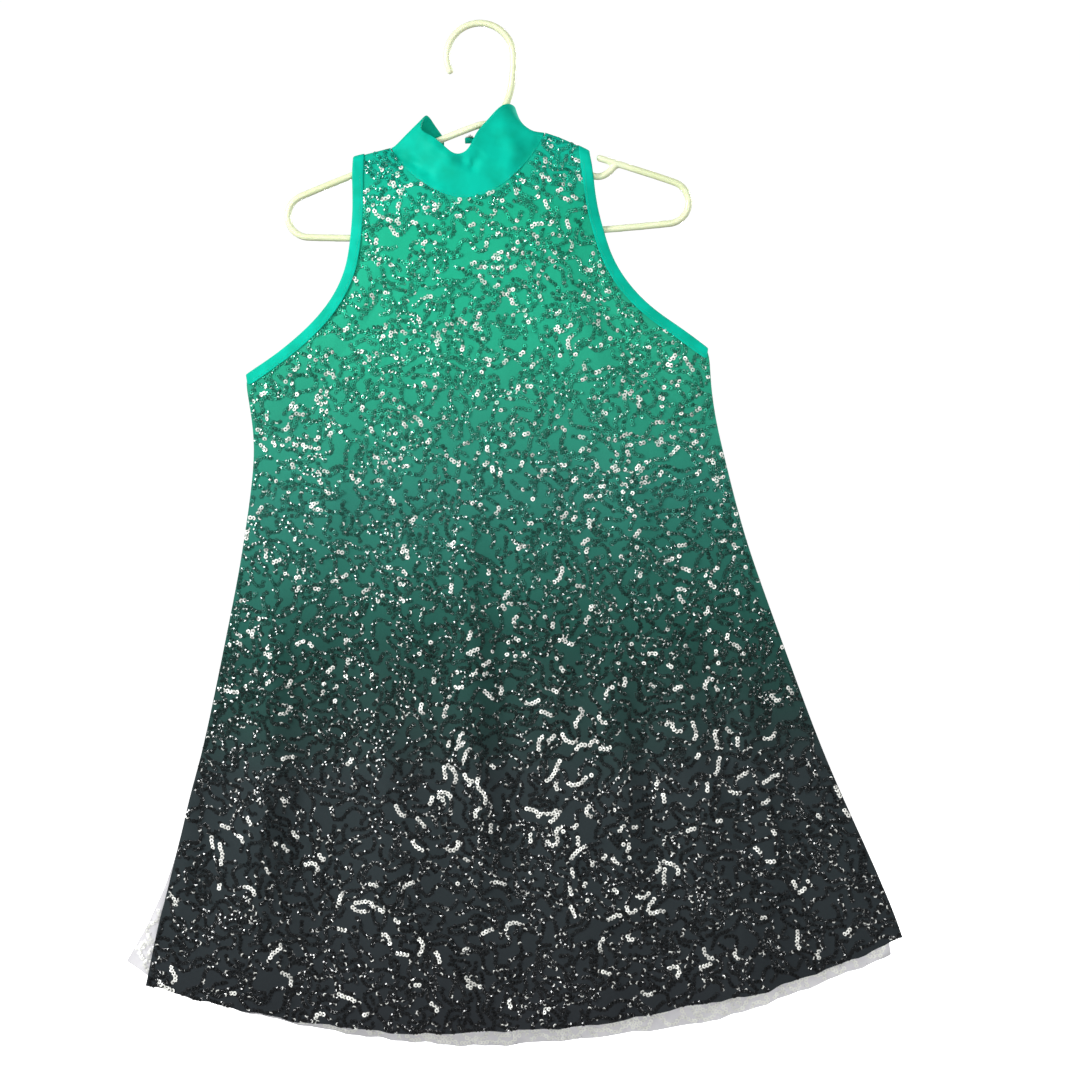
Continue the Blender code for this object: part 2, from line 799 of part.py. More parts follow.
def frame_side():
    """Loose tip, outer arm, round end and half the bar, by distance from the middle and depth."""
    lean = math.atan(ARM_SLOPE)
    meet = END_X + END_R * math.sin(lean)
    reaches = [mix(TIP_X, meet, step / ARM_STEPS) for step in range(ARM_STEPS)]
    points = [(reach, arm_depth(reach)) for reach in reaches]
    for step in range(END_STEPS + 1):
        angle = mix(lean - math.pi / 2, math.pi / 2, step / END_STEPS)
        points.append((END_X + END_R * math.cos(angle), END_DEPTH + END_R * math.sin(angle)))
    for step in range(1, BAR_STEPS):
        distance = END_X * (1 - step / BAR_STEPS)
        bow = BAR_BOW * (1 - (distance / END_X) ** 2)
        points.append((distance, END_DEPTH + END_R + bow))
    return points


def both_sides(side, middle):
    """One side's points, the middle and the other side's, round the hanger's own middle."""
    points = side + [middle] + [(-distance, depth) for distance, depth in reversed(side)]
    return [(HANGER_X + distance, depth) for distance, depth in points]


def make_hanger():
    """Outline and bar in one tube, joined with the two arms and their strap notches."""
    outline = both_sides(frame_side(), (0.0, END_DEPTH + END_R + BAR_BOW))
    mesh = tube("hanger_frame", outline, TUBE_R, TUBE_SIDES)
    frame = add_object("hanger_frame", mesh, IVORY, PLASTIC_GLOSS)
    half = smooth_path(NOTCH, NOTCH_STEPS)
    half += [(distance, arm_depth(distance)) for distance in ARM_STRAIGHT]
    arms = both_sides(half, (0.0, arm_depth(0.0)))
    mesh = tube("arms_guide", arms, TUBE_R, TUBE_SIDES)
    guide = add_object("arms_guide", mesh, IVORY, PLASTIC_GLOSS)
    guide.hide_render = True
    guide.display_type = "WIRE"
    joined = frame.modifiers.new("Arms", "BOOLEAN")
    joined.operation = "UNION"
    joined.solver = "EXACT"
    joined.object = guide
    return frame


def make_hook():
    """Round arch whose underside passes through the origin, and the stem down to the arms."""
    points = []
    for step in range(HOOK_STEPS + 1):
        angle = math.radians(mix(HOOK_START, HOOK_END, step / HOOK_STEPS))
        depth = HOOK_R - TUBE_R - HOOK_R * math.sin(angle)
        points.append((HOOK_R * math.cos(angle), depth))
    points += smooth_path(STEM + (STEM_FOOT,), STEM_STEPS)
    mesh = tube("hanger_hook", points, TUBE_R, TUBE_SIDES, level_foot=True)
    return add_object("hanger_hook", mesh, IVORY, PLASTIC_GLOSS)


def main():
    for obj in list(bpy.data.objects):
        bpy.data.objects.remove(obj)
    make_panel("front")
    make_panel("back")
    make_binding("left")
    make_binding("right")
    make_collar()
    make_fastening()
    make_hanger()
    make_hook()


main()
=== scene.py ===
import json
import math
import random

import bpy
import numpy as np
from mathutils import Matrix, Vector
from mathutils.bvhtree import BVHTree

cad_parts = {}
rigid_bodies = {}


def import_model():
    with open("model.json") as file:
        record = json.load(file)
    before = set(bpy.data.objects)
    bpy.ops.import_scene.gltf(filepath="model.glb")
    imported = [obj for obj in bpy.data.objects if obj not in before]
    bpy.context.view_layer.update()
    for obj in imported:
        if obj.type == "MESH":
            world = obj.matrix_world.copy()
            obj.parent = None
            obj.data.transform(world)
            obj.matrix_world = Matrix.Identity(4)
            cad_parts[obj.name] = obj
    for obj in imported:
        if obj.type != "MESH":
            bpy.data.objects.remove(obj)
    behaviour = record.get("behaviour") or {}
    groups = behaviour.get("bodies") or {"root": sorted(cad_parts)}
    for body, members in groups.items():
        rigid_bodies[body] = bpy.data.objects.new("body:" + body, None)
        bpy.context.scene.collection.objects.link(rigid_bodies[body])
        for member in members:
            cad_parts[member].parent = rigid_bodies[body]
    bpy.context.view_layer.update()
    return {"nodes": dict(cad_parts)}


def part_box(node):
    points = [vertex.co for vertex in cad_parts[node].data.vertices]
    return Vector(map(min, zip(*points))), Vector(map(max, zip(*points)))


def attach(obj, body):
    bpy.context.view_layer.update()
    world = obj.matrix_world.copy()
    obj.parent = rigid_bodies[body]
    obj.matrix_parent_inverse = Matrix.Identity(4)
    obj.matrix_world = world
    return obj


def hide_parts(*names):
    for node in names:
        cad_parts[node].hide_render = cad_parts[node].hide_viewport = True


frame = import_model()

bl_info = {
    "name": "Sequin dress on a hanger",
    "version": (1, 0, 0),
    "blender": (4, 5, 0),
    "location": "3D View > Sidebar > Dress",
    "description": "Cloth, sequins, knit bands and plastic for a hung sequin dress",
    "category": "Object",
}

MM = 0.001
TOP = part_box("front_panel")[1][2]
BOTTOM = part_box("front_panel")[0][2]
MERGE = 0.01 * MM
# Where a sheet folds over at its edge, in degrees
EDGE_FOLD = 50


# Colours and nodes

def linear(hex_colour):
    """A colour written as #RRGGBB, as the linear numbers that a shader takes."""
    parts = (int(hex_colour[i:i + 2], 16) / 255 for i in (1, 3, 5))
    return tuple(p / 12.92 if p <= 0.04045 else ((p + 0.055) / 1.055) ** 2.4 for p in parts)


def rgba(colour):
    return (*colour[:3], 1.0)


def add_node(tree, kind, settings=(), links=()):
    """A node of that kind; settings go to its own values or its inputs, links to its inputs."""
    node = tree.nodes.new(kind)
    for key, value in dict(settings).items():
        if isinstance(key, str) and hasattr(node, key):
            setattr(node, key, value)
        else:
            node.inputs[key].default_value = value
    for key, source in dict(links).items():
        tree.links.new(source, node.inputs[key])
    return node


def new_material(name, settings):
    """A node material: its tree, its shader with those settings and its Object coordinates."""
    material = bpy.data.materials.new(name)
    material.use_nodes = True
    tree = material.node_tree
    tree.nodes.clear()
    shader = add_node(tree, "ShaderNodeBsdfPrincipled", settings)
    add_node(tree, "ShaderNodeOutputMaterial", links={"Surface": shader.outputs[0]})
    place = add_node(tree, "ShaderNodeTexCoord")
    return material, tree, shader, place.outputs["Object"]


def noise(tree, place, scale, detail=2.0, **settings):
    """The value of a noise; the higher its scale, the finer it is."""
    settings = {"Scale": scale, "Detail": detail, **settings}
    return add_node(tree, "ShaderNodeTexNoise", settings, {"Vector": place}).outputs[0]


def spread(tree, value, low, high):
    """A value from 0 to 1, spread from low to high."""
    settings = {"To Min": low, "To Max": high}
    return add_node(tree, "ShaderNodeMapRange", settings, {"Value": value}).outputs[0]


def two_tones(tree, shader, value, low, high):
    """Colours the shader between two tones; each has the value where it lies and its colour."""
    ramp = add_node(tree, "ShaderNodeValToRGB", links={"Fac": value})
    for element, (at, colour) in zip(ramp.color_ramp.elements, (low, high)):
        element.position = at
        element.color = rgba(colour)
    tree.links.new(ramp.outputs[0], shader.inputs["Base Color"])


def relief(tree, shader, height, strength, distance):
    """Relief that is too fine to model."""
    bump = add_node(
        tree, "ShaderNodeBump", {"Strength": strength, "Distance": distance}, {"Height": height}
    )
    tree.links.new(bump.outputs[0], shader.inputs["Normal"])


def ombre(tree, place):
    """The dyed colour by height: teal at the neck, green, then dark green down to near black."""
    colours = bpy.context.scene.dress_colours
    parts = add_node(tree, "ShaderNodeSeparateXYZ", links={0: place})
    shift = add_node(
        tree, "ShaderNodeMath", {"operation": "MULTIPLY_ADD", 1: 0.06, 2: -0.03},
        {0: noise(tree, place, 6.0, 1.0)},
    )
    height = add_node(
        tree, "ShaderNodeMath", {"operation": "ADD"},
        {0: parts.outputs["Z"], 1: shift.outputs[0]},
    )
    share = add_node(
        tree, "ShaderNodeMapRange", {"From Min": TOP, "From Max": BOTTOM},
        {"Value": height.outputs[0]},
    )
    ramp = add_node(tree, "ShaderNodeValToRGB", links={"Fac": share.outputs[0]})
    stops = (
        (0.0, colours.neck), (0.1, colours.chest), (0.24, colours.waist),
        (0.4, colours.hip), (0.57, colours.thigh), (0.72, colours.knee), (1.0, colours.hem),
    )
    band = ramp.color_ramp
    while len(band.elements) < len(stops):
        band.elements.new(0.5)
    for element, (at, colour) in zip(band.elements, stops):
        element.position = at
        element.color = rgba(colour)
    return ramp.outputs["Color"]


# Printed stretch mesh: matte, so that the rings stand out on it, with the ombre by height. Its
# grain and pucker are drawn coarser than the real loops
def stretch_mesh():
    material, tree, shader, place = new_material(
        "ombre stretch mesh", {"Roughness": 0.75, "Specular IOR Level": 0.05}
    )
    colour = ombre(tree, place)
    mottle = spread(tree, noise(tree, place, 900.0), 0.82, 1.18)
    tint = add_node(
        tree, "ShaderNodeVectorMath", {"operation": "SCALE"}, {0: colour, "Scale": mottle}
    )
    tree.links.new(tint.outputs[0], shader.inputs["Base Color"])
    relief(tree, shader, noise(tree, place, 130.0, 3.0), 0.5, 0.6 * MM)
    return material


# The same mesh seen in a sequin's hole, darkened as painted shade under the ring
def painted_shade_mesh():
    material, tree, shader, place = new_material(
        "mesh in the sequins' holes in painted shade", {"Roughness": 0.9, "Specular IOR Level": 0.1}
    )
    tint = add_node(
        tree, "ShaderNodeVectorMath", {"operation": "SCALE", "Scale": 0.3},
        {0: ombre(tree, place)},
    )
    tree.links.new(tint.outputs[0], shader.inputs["Base Color"])
    return material


# The same mesh's undyed back: matte white, in faint blotches where the print shows through
def white_reverse():
    material, tree, shader, place = new_material(
        "white reverse of the mesh", {"Roughness": 0.75}
    )
    colours = bpy.context.scene.dress_colours
    blotch = noise(tree, place, 60.0, 3.0)
    two_tones(tree, shader, blotch, (0.3, colours.reverse_shade), (0.65, colours.reverse))
    relief(tree, shader, blotch, 0.4, 0.5 * MM)
    return material


# Stamped polyester film, printed with the cloth: glossy, so each ring glints on its own. Its rim
# is darkened as painted shade; near white unprinted film also gives painted highlights and glints
def sequin_film():
    material, tree, shader, place = new_material(
        "printed polyester sequin film", {"Roughness": 0.13, "IOR": 1.58}
    )
    colours = bpy.context.scene.dress_colours
    colour = ombre(tree, place)
    shade = add_node(tree, "ShaderNodeAttribute", {"attribute_name": "shade"})
    rim = add_node(tree, "ShaderNodeAttribute", {"attribute_name": "rim"})
    bare_and_glint = add_node(tree, "ShaderNodeAttribute", {"attribute_name": "bare_and_glint"})
    tint = add_node(
        tree, "ShaderNodeVectorMath", {"operation": "SCALE"},
        {0: colour, "Scale": shade.outputs["Fac"]},
    )
    # Painted shade: the print darkens towards each ring's outer rim, where it meets its neighbour
    edge = add_node(
        tree, "ShaderNodeMapRange",
        {"From Min": 0.66, "From Max": 0.92, "To Min": 1.0, "To Max": 0.06},
        {"Value": rim.outputs["Fac"]},
    )
    with_painted_rim_shade = add_node(
        tree, "ShaderNodeVectorMath", {"operation": "SCALE"},
        {0: tint.outputs[0], "Scale": edge.outputs[0]},
    )
    film = add_node(
        tree, "ShaderNodeMix",
        {"data_type": "RGBA", 7: rgba(colours.bare_film_and_glint)},
        {0: bare_and_glint.outputs["Fac"], 6: with_painted_rim_shade.outputs[0]},
    )
    tree.links.new(film.outputs[2], shader.inputs["Base Color"])
    return material


# Polyester and elastane knit: smooth, nearly matte teal; its wales are drawn coarser than real
def plain_knit():
    material, tree, shader, place = new_material(
        "teal stretch knit", {"Roughness": 0.6, "Specular IOR Level": 0.06}
    )
    colours = bpy.context.scene.dress_colours
    # Painted shade: a darker copy of the teal, laid in random clouds
    cloud = noise(tree, place, 45.0)
    two_tones(tree, shader, cloud, (0.3, colours.knit_painted_shade), (0.62, colours.knit))
    wales = add_node(
        tree, "ShaderNodeTexWave", {"Scale": 260.0, "Distortion": 0.6, "Detail": 1.0},
        {"Vector": place},
    )
    relief(tree, shader, wales.outputs[1], 0.25, 0.15 * MM)
    return material


# Spun polyester thread: a shade darker than the knit, matte, with a fine twist
def thread():
    material, tree, shader, place = new_material("spun polyester thread", {"Roughness": 0.6})
    colours = bpy.context.scene.dress_colours
    # The twist's grooves are darkened to the knit's painted shade
    twist = add_node(
        tree, "ShaderNodeTexWave", {"Scale": 900.0, "Distortion": 0.2}, {"Vector": place}
    )
    two_tones(tree, shader, twist.outputs[1], (0.0, colours.knit_painted_shade), (1.0, colours.thread))
    return material


# Injection-moulded polypropylene: smooth, glossy ivory that lets a little light in
def ivory_plastic():
    material, tree, shader, place = new_material("ivory moulded polypropylene", {
        "IOR": 1.49, "Subsurface Weight": 0.25, "Subsurface Scale": 1.0,
        "Subsurface Radius": (3 * MM, 2.6 * MM, 1.8 * MM),
    })
    colours = bpy.context.scene.dress_colours
    # Painted shade: a darker copy of the ivory, laid in random clouds
    flow = noise(tree, place, 14.0)
    two_tones(tree, shader, flow, (0.35, colours.hanger_painted_shade), (0.65, colours.hanger))
    tree.links.new(spread(tree, flow, 0.2, 0.34), shader.inputs["Roughness"])
    return material


# Cast polyester button: pearl white with faint swirls under a glossy face
def pearl_button():
    material, tree, shader, place = new_material(
        "pearl cast polyester", {"Roughness": 0.15, "IOR": 1.56}
    )
    colours = bpy.context.scene.dress_colours
    swirl = noise(tree, place, 350.0, Distortion=1.5)
    two_tones(tree, shader, swirl, (0.35, colours.reverse_shade), (0.65, colours.button))
    return material


# Seamless paper sweep: matte, near white, with the faintest fibre
def studio_paper():
    material, tree, shader, place = new_material("white studio paper", {
        "Roughness": 0.9, "Emission Color": (1.0, 1.0, 1.0, 1.0), "Emission Strength": 0.86,
    })
    tone = spread(tree, noise(tree, place, 40.0, 3.0), 0.9, 0.94)
    tree.links.new(tone, shader.inputs["Base Color"])
    return material


MAKERS = {
    "mesh": stretch_mesh, "hole": painted_shade_mesh, "reverse": white_reverse, "film": sequin_film,
    "knit": plain_knit, "thread": thread, "plastic": ivory_plastic, "button": pearl_button,
    "paper": studio_paper,
}
MADE = {}


def finish_of(name):
    """The one material of that name, made the first time it is asked for."""
    if name not in MADE:
        MADE[name] = MAKERS[name]()
    return MADE[name]


# Hand tools

def pick(*pieces):
    """Only these are selected; the first is active."""
    bpy.ops.object.select_all(action="DESELECT")
    for piece in pieces:
        piece.select_set(True)
    bpy.context.view_layer.objects.active = pieces[0]


def open_edit(piece, mode="FACE"):
    """Edit mode on that piece with nothing selected."""
    pick(piece)
    bpy.ops.object.mode_set(mode="EDIT")
    bpy.ops.mesh.select_mode(type=mode)
    bpy.ops.mesh.select_all(action="DESELECT")


def close_edit():
    bpy.ops.object.mode_set(mode="OBJECT")


def modify(piece, kind, **settings):
    """Adds a modifier, sets it and applies it."""
    modifier = piece.modifiers.new(kind.lower(), kind)
    for key, value in settings.items():
        setattr(modifier, key, value)
    pick(piece)
    bpy.ops.object.modifier_apply(modifier=modifier.name)


def subdivide(piece, **settings):
    modify(piece, "SUBSURF", levels=2, render_levels=2, **settings)


def round_edges(piece, width):
    modify(piece, "BEVEL", width=width, segments=3, limit_method="ANGLE")


def paint(piece, *names):
    """Gives the piece its materials, one to a slot."""
    piece.data.materials.clear()
    for name in names:
        piece.data.materials.append(finish_of(name))


def finish_piece(piece, slot, *nodes):
    """Rides on the one body and stands for its CAD nodes. Its slot is not used."""
    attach(piece, "root")
    if nodes:
        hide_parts(*nodes)


def cad_copy(node, name):
    """A merged copy of a CAD node's mesh, to be shaped further."""
    mesh = frame["nodes"][node].data.copy()
    mesh.name = name
    mesh.materials.clear()
    piece = bpy.data.objects.new(name, mesh)
    bpy.context.scene.collection.objects.link(piece)
    open_edit(piece)
    bpy.ops.mesh.select_all(action="SELECT")
    bpy.ops.mesh.remove_doubles(threshold=MERGE)
    close_edit()
    return piece


def pair_triangles(face_angle):
    """Joins the selected triangles into quads; called in edit mode."""
    bpy.ops.mesh.tris_convert_to_quads(
        face_threshold=math.radians(face_angle), shape_threshold=math.radians(60)
    )


def keep_outer_sheet(piece, seed):
    """Keeps the one smooth sheet that holds the face nearest the seed point."""
    open_edit(piece, "EDGE")
    bpy.ops.mesh.edges_select_sharp(sharpness=math.radians(EDGE_FOLD))
    bpy.ops.mesh.mark_sharp()
    bpy.ops.mesh.select_mode(type="FACE")
    close_edit()
    seed = Vector(seed)
    nearest = min(piece.data.polygons, key=lambda face: (face.center - seed).length)
    for face in piece.data.polygons:
        face.select = face.index == nearest.index
    bpy.ops.object.mode_set(mode="EDIT")
    bpy.ops.mesh.select_linked(delimit={"SHARP"})
    bpy.ops.mesh.select_all(action="INVERT")
    bpy.ops.mesh.delete(type="FACE")
    bpy.ops.mesh.select_all(action="SELECT")
    bpy.ops.mesh.mark_sharp(clear=True)
    pair_triangles(60)
    close_edit()


def vertex_places(piece):
    places = np.empty(len(piece.data.vertices) * 3)
    piece.data.vertices.foreach_get("co", places)
    return places.reshape(-1, 3)


def vertex_normals(piece):
    normals = np.empty(len(piece.data.vertices) * 3)
    piece.data.vertex_normals.foreach_get("vector", normals)
    return normals.reshape(-1, 3)


def set_places(piece, places):
    piece.data.vertices.foreach_set("co", places.ravel())
    piece.data.update()


def smooth(piece, angle=40):
    pick(piece)
    bpy.ops.object.shade_smooth_by_angle(angle=math.radians(angle))


# Cloth creases: points down each line in mm (x, depth), height and width in mm
FRONT_CREASES = (
    (((-118, 215), (-150, 262), (-176, 330)), -1.6, 9),
    (((-100, 205), (-122, 270), (-150, 352)), 1.4, 10),
    (((95, 232), (118, 290), (150, 352)), -1.5, 9),
    (((70, 225), (92, 300), (118, 380)), 1.3, 11),
    (((-228, 560), (-244, 740), (-262, 925)), 7.3, 15),
    (((-198, 600), (-208, 760), (-222, 905)), -2.0, 12),
    (((-30, 500), (-34, 700), (-28, 930)), 7.7, 17),
    (((2, 540), (-2, 720), (6, 915)), -2.0, 12),
    (((108, 640), (118, 780), (122, 930)), 7.0, 16),
    (((140, 690), (150, 800), (158, 910)), -1.9, 11),
    (((236, 640), (258, 800), (286, 925)), 5.9, 17),
    (((-318, 740), (-336, 850), (-350, 940)), 4.2, 12),
    (((-120, 620), (-124, 780), (-128, 940)), 4.6, 18),
    (((-60, 240), (-52, 330), (-66, 430)), 1.3, 14),
    (((20, 250), (34, 350), (28, 450)), -1.2, 14),
    (((-150, 380), (-160, 460), (-172, 560)), 1.6, 16),
    (((120, 400), (132, 480), (150, 590)), 1.6, 16),
)
BACK_CREASES = (
    (((-110, 210), (-146, 270), (-180, 345)), -1.5, 9),
    (((92, 225), (122, 290), (158, 352)), -1.5, 9),
    (((-24, 260), (-34, 400), (-20, 560)), -1.4, 10),
    (((-215, 620), (-230, 760), (-250, 930)), 6.6, 15),
    (((-120, 600), (-116, 780), (-128, 960)), 5.5, 16),
    (((-80, 600), (-76, 780), (-84, 960)), -1.9, 11),
    (((40, 560), (52, 740), (44, 960)), 7.0, 16),
    (((160, 640), (176, 790), (196, 960)), 5.5, 16),
    (((270, 700), (296, 830), (322, 950)), -1.7, 9),
)
COLLAR_CREASES = (
    (((-92, 127), (-71, 141), (-50, 155)), -3.2, 5),
    (((-64, 112), (-45, 130), (-23, 148)), 3.4, 6),
    (((-30, 137), (-12, 147), (-1, 132)), -2.8, 5),
    (((18, 100), (32, 131), (21, 162)), 2.9, 9),
    (((-78, 150), (-56, 166), (-30, 174)), 2.1, 5),
    (((52, 118), (66, 132), (70, 148)), -2.2, 6),
)


def crease_heights(places, creases):
    """How far the creases lift each point of the cloth, in metres.

    A crease fades to both ends and swells a little unevenly between them.
    """
    height = np.zeros(len(places))
    flat = np.column_stack((places[:, 0], -places[:, 2])) / MM
    for number, (line, lift, width) in enumerate(creases):
        points = np.array(line, float)
        steps = np.linalg.norm(np.diff(points, axis=0), axis=1)
        total = steps.sum()
        best = np.full(len(flat), 1e9)
        along = np.zeros(len(flat))
        done = 0.0
        for start, end, step in zip(points[:-1], points[1:], steps):
            share = np.clip((flat - start) @ (end - start) / step ** 2, 0, 1)
            away = np.linalg.norm(flat - start - share[:, None] * (end - start), axis=1)
            closer = away < best
            best = np.where(closer, away, best)
            along = np.where(closer, (done + share * step) / total, along)
            done += step
        ends = np.sin(np.pi * np.clip(along, 0.0, 1.0)) ** 0.7
        uneven = 1.0 + 0.25 * np.sin(along * 17.0 + number * 2.1)
        height += lift * MM * ends * uneven * np.exp(-((best / width) ** 2))
    return height


def crease(piece, creases):
    """Lifts a sheet along its creases, out along its own normals."""
    places = vertex_places(piece)
    lifted = crease_heights(places, creases)
    set_places(piece, places + vertex_normals(piece) * lifted[:, None])


# The hem lies below HEM_ZONE, in metres. Its raw edge wanders in two waves of HEM_WAVES mm to a
# radian, HEM_WANDER high, which fade over HEM_FADE
HEM_ZONE = -0.9
HEM_WAVES = (8.5, 3.9)
HEM_WANDER = 0.9 * MM
HEM_FADE = 7 * MM


def ruffle_hem(piece):
    """Lets the raw lower edge wander by a millimetre or so, as cut stretch mesh does."""
    places = vertex_places(piece)
    uses = np.bincount(
        [loop.edge_index for loop in piece.data.loops], minlength=len(piece.data.edges)
    )
    ends = np.array([edge.vertices for edge in piece.data.edges])
    rim = np.unique(ends[uses == 1])
    hem = places[rim[places[rim, 2] < HEM_ZONE]]
    low = np.flatnonzero(places[:, 2] < HEM_ZONE)
    away = np.full(len(low), 1e9)
    for point in hem:
        away = np.minimum(away, np.linalg.norm(places[low] - point, axis=1))
    across = places[low, 0] / MM
    wander = np.sin(across / HEM_WAVES[0]) + 0.7 * np.sin(across / HEM_WAVES[1] + 1.0)
    places[low, 2] += HEM_WANDER * wander * np.exp(-away / HEM_FADE)
    set_places(piece, places)


def make_sheet(node, name, seed, creases):
    """One cut of sequin cloth: the CAD panel's outer face, creased, with a thin wall behind it."""
    sizes = bpy.context.scene.dress_sizes
    piece = cad_copy(node, name)
    keep_outer_sheet(piece, seed)
    subdivide(piece, boundary_smooth="PRESERVE_CORNERS")
    crease(piece, creases)
    ruffle_hem(piece)
    paint(piece, "mesh", "reverse")
    modify(
        piece, "SOLIDIFY", thickness=sizes.cloth, offset=-1.0, use_even_offset=False,
        material_offset=1, material_offset_rim=1,
    )
    smooth(piece, 60)
    return piece


class DRESS_OT_front(bpy.types.Operator):
    """Cuts and hangs the front panel"""
    bl_idname = "dress.front"
    bl_label = "Front panel"

    def execute(self, context):
        low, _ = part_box("front_panel")
        piece = make_sheet(
            "front_panel", "dress_front", (0.0, low[1], -0.5), FRONT_CREASES
        )
        finish_piece(piece, "sequin_cloth", "front_panel")
        return {"FINISHED"}


class DRESS_OT_back(bpy.types.Operator):
    """Cuts and hangs the back panel"""
    bl_idname = "dress.back"
    bl_label = "Back panel"

    def execute(self, context):
        _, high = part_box("back_panel")
        piece = make_sheet("back_panel", "dress_back", (0.05, high[1], -0.5), BACK_CREASES)
        finish_piece(piece, "sequin_cloth", "back_panel")
        return {"FINISHED"}


# The doubled knit band's thickness, and how far its edge and those of the fastening are rounded
COLLAR_WALL = 1.8 * MM
COLLAR_ROUND = 0.7 * MM
TAB_ROUND = 0.5 * MM
BUTTON_ROUND = 0.6 * MM


class DRESS_OT_collar(bpy.types.Operator):
    """Shapes the doubled knit band of the stand-up collar"""
    bl_idname = "dress.collar"
    bl_label = "Collar"

    def execute(self, context):
        piece = cad_copy("collar", "collar_band")
        low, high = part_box("collar")
        keep_outer_sheet(piece, ((low[0] + high[0]) / 2, low[1] - 0.02, (low[2] + high[2]) / 2))
        subdivide(piece, boundary_smooth="PRESERVE_CORNERS")
        crease(piece, COLLAR_CREASES)
        paint(piece, "knit")
        modify(
            piece, "SOLIDIFY", thickness=COLLAR_WALL, offset=-1.0, use_even_offset=False
        )
        round_edges(piece, COLLAR_ROUND)
        smooth(piece, 60)
        finish_piece(piece, "plain_knit", "collar")
        return {"FINISHED"}


class DRESS_OT_bindings(bpy.types.Operator):
    """Smooths the two knit bindings that lie over the armhole edges"""
    bl_idname = "dress.bindings"
    bl_label = "Armhole bindings"

    def execute(self, context):
        for side in ("left", "right"):
            node = f"armhole_binding_{side}"
            piece = cad_copy(node, f"binding_{side}")
            open_edit(piece)
            bpy.ops.mesh.select_all(action="SELECT")
            pair_triangles(40)
            close_edit()
            paint(piece, "knit")
            subdivide(piece)
            smooth(piece, 60)
            finish_piece(piece, "plain_knit", node)
        return {"FINISHED"}


class DRESS_OT_fastening(bpy.types.Operator):
    """Shapes the tab at the collar's end and its pearl button"""
    bl_idname = "dress.fastening"
    bl_label = "Neck fastening"

    def execute(self, context):
        tab = cad_copy("neck_tab", "neck_tab_knit")
        paint(tab, "knit")
        round_edges(tab, TAB_ROUND)
        smooth(tab)
        finish_piece(tab, "plain_knit", "neck_tab")
        button = cad_copy("neck_button", "pearl_button")
        paint(button, "button")
        round_edges(button, BUTTON_ROUND)
        smooth(button)
        finish_piece(button, "button", "neck_button")
        return {"FINISHED"}


# The tube is swelled by this many mm before it is remeshed and smoothed, which thin it again
HANGER_SWELL = 0.6
HANGER_VOXEL = 1.1 * MM


class DRESS_OT_hanger(bpy.types.Operator):
    """Moulds the hanger's frame and hook as one smooth tube"""
    bl_idname = "dress.hanger"
    bl_label = "Hanger"

    def execute(self, context):
        piece = cad_copy("hanger_frame", "hanger")
        hook = cad_copy("hanger_hook", "hanger_hook_tube")
        pick(piece, hook)
        bpy.ops.object.join()
        set_places(piece, vertex_places(piece) + vertex_normals(piece) * HANGER_SWELL * MM)
        modify(piece, "REMESH", mode="VOXEL", voxel_size=HANGER_VOXEL, adaptivity=0.0)
        modify(piece, "SMOOTH", factor=0.5, iterations=16)
        paint(piece, "plastic")
        smooth(piece, 80)
        finish_piece(piece, "hanger_plastic", "hanger_frame", "hanger_hook")
        return {"FINISHED"}


# Sequins and stitches

# Rays towards the cloth start this far before the dress, in metres
BEFORE = 0.3


def land(tree, x, depth, toward):
    """Where a ray at a point in mm meets the cloth, and the normal there that faces the ray."""
    start = Vector((x * MM, -BEFORE * toward, -depth * MM))
    place, normal, _, _ = tree.ray_cast(start, Vector((0, toward, 0)))
    if place is not None and normal.y * toward > 0:
        normal = -normal
    return place, normal


def row_axes(normal, heading):
    """Along a row and across it, both flat on cloth that has this normal."""
    along = Vector((math.cos(heading), 0, -math.sin(heading)))
    along = (along - normal * along.dot(normal)).normalized()
    return along, normal.cross(along)


def take_apart(shape):
    """The corners and faces of a small shape, which is then cleared away.

    An extruded shape's faces come in no fixed order, so each is turned to start at its lowest
    corner and they are sorted, to be the same in each run.
    """
    corners = vertex_places(shape)
    faces = []
    for face in shape.data.polygons:
        loop = tuple(face.vertices)
        first = loop.index(min(loop))
        faces.append(loop[first:] + loop[:first])
    bpy.data.objects.remove(shape, do_unlink=True)
    return corners, sorted(faces)


def lay_copies(name, corners, faces, spots):
    """One object of many copies of a small shape, one at each place and turn."""
    places = np.concatenate([
        corners @ np.array(turn).T + np.array(place) for place, turn in spots
    ])
    polygons = [
        tuple(index + number * len(corners) for index in face)
        for number in range(len(spots)) for face in faces
    ]
    mesh = bpy.data.meshes.new(name)
    mesh.from_pydata(places.tolist(), [], polygons)
    piece = bpy.data.objects.new(name, mesh)
    bpy.context.scene.collection.objects.link(piece)
    return piece


def one_sequin():
    """A stamped ring whose face rises to the rim of its hole.

    The real ring is round. It has six sides here, coarser than real, and a face in its hole
    shows the mesh behind it, darkened as painted shade.
    """
    sizes = bpy.context.scene.dress_sizes
    bpy.ops.object.select_all(action="DESELECT")
    bpy.ops.mesh.primitive_circle_add(
        vertices=6, radius=sizes.sequin / 2, fill_type="NGON", location=(0, 0, 0)
    )
    ring = bpy.context.active_object
    bpy.ops.object.mode_set(mode="EDIT")
    bpy.ops.mesh.select_mode(type="FACE")
    bpy.ops.mesh.select_all(action="SELECT")
    bpy.ops.mesh.extrude_region_move()
    shrink = sizes.hole / sizes.sequin
    bpy.ops.transform.resize(value=(shrink, shrink, 1))
    bpy.ops.transform.translate(value=(0, 0, sizes.cup))
    bpy.ops.mesh.select_all(action="SELECT")
    bpy.ops.mesh.normals_make_consistent(inside=False)
    close_edit()
    return ring


